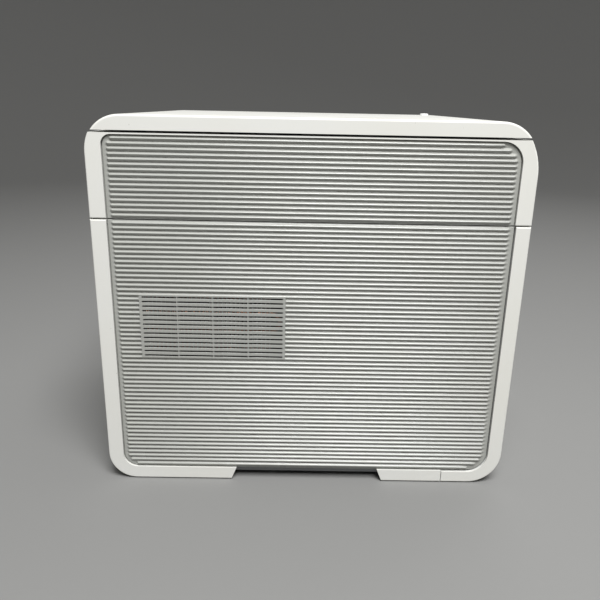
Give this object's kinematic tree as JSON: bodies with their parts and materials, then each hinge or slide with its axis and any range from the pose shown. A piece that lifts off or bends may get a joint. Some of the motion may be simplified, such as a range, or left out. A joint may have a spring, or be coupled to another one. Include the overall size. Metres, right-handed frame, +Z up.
{
  "type": "mini fridge",
  "caption": "Compact box-shaped fridge with fluted grey side panels, a white wrap-round band, a hinged top lid over a shallow tub and a hinged front door.",
  "frame": {"origin": "centre of the footprint, at the floor under the foot pads", "axes": "+X to the user's right when facing the front door, -Y out of the front door, +Z up"},
  "size_m": [0.36, 0.45, 0.4076],
  "materials": {
    "white_shell": "satin",
    "panel_grey": "satin",
    "base_grey": "matte",
    "foam": "matte",
    "liner_white": "satin",
    "clear_tray": "gloss",
    "shelf_glass": "gloss",
    "seal_rubber": "matte",
    "pad_rubber": "matte",
    "zinc_steel": "satin",
    "coated_steel": "satin",
    "black_steel": "satin",
    "alu": "satin",
    "copper": "satin",
    "black_plastic": "matte",
    "dark_grey_plastic": "satin",
    "smoked_window": "gloss",
    "board_green": "satin",
    "lamp_lens": "satin",
    "bushing_nylon": "matte"
  },
  "bodies": {
    "cabinet": {"base_pan": "base_grey", "bulkhead": "coated_steel", "cabinet_insulation": "foam", "cabinet_liner": "liner_white", "compressor": "black_steel", "compressor_grommets": "pad_rubber", "condenser_bracket": "zinc_steel", "condenser_fins": "alu", "condenser_tube": "copper", "control_bezel": "dark_grey_plastic", "control_board": "board_green", "crisper_drawer": "clear_tray", "display_window": "smoked_window", "evaporation_tray": "black_plastic", "evaporator_plate": "alu", "fan_frame": "black_plastic", "filter_drier": "copper", "foot_pads": "pad_rubber", "front_foot": "white_shell", "front_frame": "coated_steel", "glass_shelf": "shelf_glass", "housing_hinge_knuckles": "zinc_steel", "interior_lamp": "lamp_lens", "lid_hinge_pins": "zinc_steel", "lower_hinge_bracket": "zinc_steel", "lower_panel_left": "panel_grey", "lower_panel_right": "panel_grey", "power_board": "board_green", "power_inlet": "black_plastic", "rear_grille": "base_grey", "rear_screws": "zinc_steel", "rear_shell": "white_shell", "refrigerant_lines": "copper", "shelf_trim": "liner_white", "upper_base_plate": "base_grey", "upper_hinge_pin": "zinc_steel", "upper_housing": "white_shell", "upper_insulation": "foam", "upper_liner": "liner_white", "upper_panel_left": "panel_grey", "upper_panel_right": "panel_grey"},
    "door": {"door_shell": "white_shell", "door_insulation": "foam", "door_liner": "liner_white", "door_gasket": "seal_rubber", "door_bin_lower": "clear_tray", "door_bin_upper": "clear_tray", "door_bushings": "bushing_nylon", "handle_insert": "panel_grey"},
    "lid": {"lid_shell": "white_shell", "lid_insulation": "foam", "lid_liner": "liner_white", "lid_gasket": "seal_rubber", "lid_hinge_knuckles": "zinc_steel"},
    "power_key": {"button_power": "white_shell"},
    "colder_key": {"button_colder": "white_shell"},
    "warmer_key": {"button_warmer": "white_shell"},
    "vacuum_valve": {"vacuum_release_button": "white_shell"},
    "fan": {"fan_rotor": "black_plastic"},
    "rocker": {"power_rocker": "black_plastic"}
  },
  "joints": [
    {"name": "door_hinge", "type": "hinge", "parent": "cabinet", "child": "door", "pos_m": [0.173, -0.217, 0.15], "axis": [0, 0, 1], "range_deg": [0, 110]},
    {"name": "lid_hinge", "type": "hinge", "parent": "cabinet", "child": "lid", "pos_m": [0, 0.2195, 0.3864], "axis": [-1, 0, 0], "range_deg": [0, 95]},
    {"name": "power_key_press", "type": "slide", "parent": "cabinet", "child": "power_key", "axis": [0, 1, 0], "range_m": [0, 0.0012], "stiffness_N_per_m": 600},
    {"name": "colder_key_press", "type": "slide", "parent": "cabinet", "child": "colder_key", "axis": [0, 1, 0], "range_m": [0, 0.0012], "stiffness_N_per_m": 600},
    {"name": "warmer_key_press", "type": "slide", "parent": "cabinet", "child": "warmer_key", "axis": [0, 1, 0], "range_m": [0, 0.0012], "stiffness_N_per_m": 600},
    {"name": "vacuum_valve_press", "type": "slide", "parent": "lid", "child": "vacuum_valve", "axis": [0, 0, -1], "range_m": [0, 0.002], "stiffness_N_per_m": 600, "springref_m": -0.001},
    {"name": "fan_spin", "type": "hinge", "parent": "cabinet", "child": "fan", "pos_m": [-0.1302, 0.1028, 0.18712], "axis": [1, 0, 0], "continuous": true},
    {"name": "rocker_tilt", "type": "hinge", "parent": "cabinet", "child": "rocker", "pos_m": [-0.083, 0.219, 0.05], "axis": [1, 0, 0], "range_deg": [0, 14]}
  ]
}
